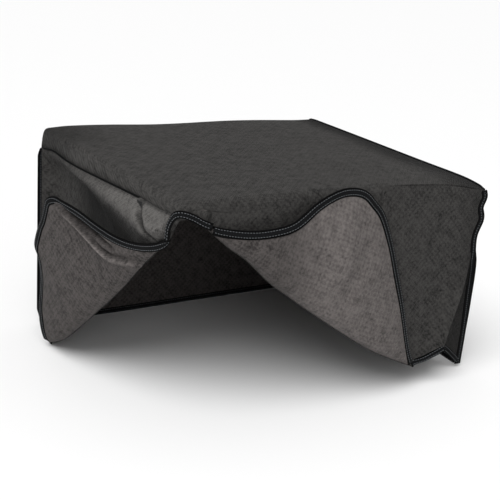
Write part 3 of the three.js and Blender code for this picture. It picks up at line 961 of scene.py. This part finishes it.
def tape(name, line, inward, outward, width, thick, overhang):
    """A ribbon folded over the edge line. inward points into the cloth and outward off its face."""
    profile = np.array(RIBBON_PROFILE) * np.array([width / PROFILE_WIDTH, thick / PROFILE_THICK])
    profile = np.vstack([profile, (profile * np.array([1, -1]))[-2:0:-1]])
    centre = line + inward * (width / 2 - overhang) - outward * CLOTH_THICK / 2
    rings = centre[:, None] + profile[None, :, :1] * inward[:, None]
    rings = rings + profile[None, :, 1:] * outward[:, None]
    count, sides = rings.shape[:2]
    at = np.arange(count * sides).reshape(count, sides)
    turn = np.roll(at, -1, axis=1)
    faces = np.stack([at[:-1], at[1:], turn[1:], turn[:-1]], axis=2).reshape(-1, 4).tolist()
    faces += [at[0].tolist(), at[-1][::-1].tolist()]
    mesh = bpy.data.meshes.new(name)
    mesh.from_pydata((rings.reshape(-1, 3) * MM).tolist(), [], faces)
    run = np.r_[0, np.cumsum(np.linalg.norm(np.diff(centre, axis=0), axis=1))]
    across = np.tile(profile[:, 0] * PROFILE_WIDTH / width, (count, 1))
    flat = np.stack([np.repeat(run[:, None], sides, 1), across], axis=2).reshape(-1, 2)
    layer = mesh.uv_layers.new(name="cut")
    for corner in mesh.loops:
        layer.data[corner.index].uv = flat[corner.vertex_index] * MM
    mesh.materials.append(ribbon)
    mesh.shade_smooth()
    piece = bpy.data.objects.new(name, mesh)
    bpy.context.scene.collection.objects.link(piece)
    face_out(piece)
    return piece, centre


def face_out(piece):
    """Turns every face of a closed piece outwards."""
    work = bmesh.new()
    work.from_mesh(piece.data)
    bmesh.ops.recalc_face_normals(work, faces=work.faces)
    work.to_mesh(piece.data)
    work.free()


def thread_material(name, dark, light):
    """Spun thread, darker in its twist."""
    material = bpy.data.materials.new(name)
    shader = principled(material)
    tree = material.node_tree
    place = tree.nodes.new("ShaderNodeTexCoord").outputs["Object"]
    twist = noise(tree, place, 900.0, 2.0)
    link(tree, mixed(tree, twist, dark, light), shader.inputs["Base Color"])
    shader.inputs["Roughness"].default_value = 0.6
    return material


thread = thread_material("sewing_thread", (0.05, 0.055, 0.06), (0.16, 0.17, 0.18))
black_thread = thread_material("black_thread", (0.002, 0.002, 0.002), (0.012, 0.012, 0.013))
STITCH_LENGTH = 2.6
STITCH_PITCH = 4.0
STITCH_RADIUS = 0.38
STITCH_SIDES = 6
STITCH_SHAPE = ((0.0, 0.35), (0.25, 1.0), (0.75, 1.0), (1.0, 0.35))


def at_length(run, line, place):
    """The point of the line at a place measured along it."""
    return np.array([np.interp(place, run, line[:, k]) for k in range(3)])


def stitches(name, rows, length=STITCH_LENGTH, pitch=STITCH_PITCH, finish=thread):
    """Rows of short stitches along (line, outward), each a small spindle half sunk in what it sews."""
    points, faces = [], []
    turns = np.linspace(0, 2 * np.pi, STITCH_SIDES, endpoint=False)
    ring = [(math.cos(a), math.sin(a)) for a in turns]
    for line, outward in rows:
        run = np.r_[0, np.cumsum(np.linalg.norm(np.diff(line, axis=0), axis=1))]
        for start in np.arange(pitch / 2, run[-1] - pitch, pitch):
            head = at_length(run, line, start)
            tail = at_length(run, line, start + length)
            off = at_length(run, outward, start)
            along = (tail - head) / np.linalg.norm(tail - head)
            side = np.cross(along, off)
            first = len(points)
            for t, size in STITCH_SHAPE:
                middle = head * (1 - t) + tail * t
                for c, s in ring:
                    points.append(middle + (side * c + off * s) * STITCH_RADIUS * size)
            for k in range(len(STITCH_SHAPE) - 1):
                low = first + k * STITCH_SIDES
                for i in range(STITCH_SIDES):
                    a, b = low + i, low + (i + 1) % STITCH_SIDES
                    faces.append((a, b, b + STITCH_SIDES, a + STITCH_SIDES))
            last = len(points) - STITCH_SIDES
            faces.append(tuple(first + i for i in reversed(range(STITCH_SIDES))))
            faces.append(tuple(last + i for i in range(STITCH_SIDES)))
    mesh = bpy.data.meshes.new(name)
    mesh.from_pydata((np.array(points) * MM).tolist(), [], faces)
    mesh.materials.append(finish)
    mesh.shade_smooth()
    piece = bpy.data.objects.new(name, mesh)
    bpy.context.scene.collection.objects.link(piece)
    face_out(piece)
    return piece


def unit(v):
    return v / (np.linalg.norm(v, axis=-1, keepdims=True) + 1e-9)


def rim_frames(edge_row, next_row, outward_hint, count):
    """Even steps along a cloth's edge, with the direction into the cloth and off its face."""
    line = smooth_line(edge_row, count)
    beside = smooth_line(next_row, count)
    along = unit(np.gradient(line, axis=0))
    inward = beside - line
    inward = unit(inward - along * (inward * along).sum(axis=1, keepdims=True))
    outward = np.cross(along, inward)
    if (outward @ np.array(outward_hint)).mean() < 0:
        outward = -outward
    kernel = np.ones(5) / 5
    for field in (inward, outward):
        padded = np.pad(field, ((2, 2), (0, 0)), mode="edge")
        even = [np.convolve(padded[:, k], kernel, mode="valid") for k in range(3)]
        field[:] = unit(np.column_stack(even))
    return line, inward, outward


SEWN_AT = 0.44


def bound_edge(name, node, frames, width, thick, overhang, rows, body="cover"):
    """A ribbon with rows of stitches on both of its faces, in place of one node of the frame."""
    line, inward, outward = frames
    piece, centre = tape(name, line, inward, outward, width, thick, overhang)
    sewing = []
    for across in rows:
        for side in (1, -1):
            face = centre + inward * across + outward * side * thick * SEWN_AT
            sewing.append((face, outward * side))
    seam = stitches(name + "_stitches", sewing)
    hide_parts(node)
    if body == "cover":
        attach(piece, body)
        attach(seam, body)
    return piece, seam


front_rim = rim_frames(front_flap[-1], front_flap[-3], (0, -1, 0), 190)
left_rim = rim_frames(left_flap[-1], left_flap[-3], (-1, 0, 0), 180)
for body, rim, width, overhang, rows, late in (
    ("front_flap", front_rim, 12.0, 3.4, (-3.0, 3.0), FRONT_BLEND_END),
    ("left_flap", left_rim, 11.5, 3.2, (-2.9, 2.9), LEFT_BLEND_END),
):
    edge = (rim, width, 4.0, overhang, rows, body)
    for item in bound_edge(body + "_binding", body + "_edge_tape", *edge):
        fold_blend(item, body + "_fold", body)


SEAM_END = 14.0
SEAM_END_IN = 3.2


def seam_frames(column, side, tilt, count):
    """The strip's edge, with the ribbon standing out sideways from it and its ends turned in."""
    path = smooth_line(column, count)
    along = unit(np.gradient(path, axis=0))
    into = np.tile(np.array([-side, 0.0, 0.0]), (count, 1))
    into = unit(into - along * (into * along).sum(axis=1, keepdims=True))
    facing = np.cross(into, along)
    facing = facing if (facing * (path - MIDDLE)).sum() > 0 else -facing
    run = np.r_[0, np.cumsum(np.linalg.norm(np.diff(path, axis=0), axis=1))]
    turned_in = ease(1 - run / SEAM_END) + ease(1 - (run[-1] - run) / SEAM_END)
    path = path + into * SEAM_END_IN * turned_in[:, None]
    return path, unit(into + facing * tilt), unit(facing - into * tilt)


REAR_CORNER = BACK_STEPS + 2
LEFT_SEAM_STOP = 74
left_top = wrap[REAR_CORNER:LEFT_SEAM_STOP, 0]
right_top = wrap[REAR_CORNER:FRONT_START, -1] - (0, 0, 1.5)
left_rear = wrap[REAR_CORNER:0:-1, 0]
right_rear = wrap[REAR_CORNER:0:-1, -1]
for name, node, column, side, tilt, count, width, thick, proud in (
    ("left_top_seam", "top_left_seam_tape", left_top, -1, 0.25, 130, 4.2, 2.4, 2.0),
    ("right_top_seam", "top_right_seam_tape", right_top, 1, -0.8, 150, 9.0, 3.2, 5.0),
    ("left_rear_seam", "back_left_seam_tape", left_rear, -1, 0.0, 100, 8.0, 3.2, 5.6),
    ("right_rear_seam", "back_right_seam_tape", right_rear, 1, 0.0, 100, 8.0, 3.2, 5.6),
):
    bound_edge(name, node, seam_frames(column, side, tilt, count), width, thick, proud, (0.6,))
corner_rim = rim_frames(wrap[FRONT_START:, -1], wrap[FRONT_START:, -4], (0, -1, 0), 110)
bound_edge("right_front_seam", "front_right_seam_tape", corner_rim, 12.0, 3.6, 4.6, (0.6,))

for name, node, line, beside, outward, count in (
    ("rear_hem_binding", "back_hem_tape", wrap[0, 1:-1], wrap[2, 1:-1], (0, 1, 0), 130),
    ("front_hem_binding", "front_hem_tape", wrap[-1, 3:-1], wrap[-3, 3:-1], (0, -1, 0), 90),
    ("right_hem_binding", "right_hem_tape", right[-1, 1:-1], right[-3, 1:-1], (1, 0, 0), 120),
    ("left_hem_binding", "left_hem_tape", left[-1, 1:13], left[-3, 1:13], (-1, 0, 0), 40),
):
    frames = rim_frames(line, beside, outward, count)
    bound_edge(name, node, frames, 10.0, 3.6, 3.0, (-2.6, 2.6))

SLIT_TOP = [
    (-4, 21, -40), (-4, 19, -24), (-3, 12, -11), (-2, 4, -4), (2, -2, -2),
    (9, -3, -4), (20, -3, -9), (30, -4, -15), (42, -6, -20),
]
SLIT_STEPS = 60
slit_path = smooth_line([(LEFT + x, FRONT + y, z) for x, y, z in SLIT_TOP], SLIT_STEPS)
slit_turn = np.linspace(-0.6, 1.6, SLIT_STEPS)
slit_out = unit(np.column_stack([-ease(1.0 - slit_turn), -ease(slit_turn), np.zeros(SLIT_STEPS)]))
slit_along = unit(np.gradient(slit_path, axis=0))
slit_out = unit(slit_out - slit_along * (slit_out * slit_along).sum(axis=1, keepdims=True))
slit_in = np.cross(slit_along, slit_out)
if slit_in[:, 2].mean() < 0:
    slit_in = -slit_in
slit_frames = (slit_path, slit_in, slit_out)
bound_edge("slit_top_binding", "slit_top_tape", slit_frames, 9.5, 3.6, 4.0, (-2.4, 2.4))

# ---------------------------------------------------------------- bar tack
# Where the left seam stops, a short dense bar of black zigzag thread keeps it from
# running on into the loose corner.

TACK_ROWS = 13
TACK_BACK = 93.0
TACK_LENGTH = 11.0
TACK_LEAN = 1.6
TACK_OUT = [-0.8, 0.0, 0.6]
tack_place = left[3, np.abs(left[3, :, 1] - FRONT - TACK_BACK).argmin()]
tack_rows = []
for k in range(TACK_ROWS):
    share = k / (TACK_ROWS - 1)
    back = (0.5 - share) * TACK_LENGTH
    lean = TACK_LEAN if k % 2 else -TACK_LEAN
    foot = tack_place + np.array([-1.6 + 1.4 * share, back + lean, -5.5])
    head = tack_place + np.array([0.4, back - lean, 5.0])
    tack_rows.append((np.linspace(foot, head, 6), np.tile(TACK_OUT, (6, 1))))
bar_tack = stitches("corner_bar_tack", tack_rows, 7.0, 2.6, black_thread)
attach(bar_tack, "cover")
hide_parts("left_seam_bar_tack")
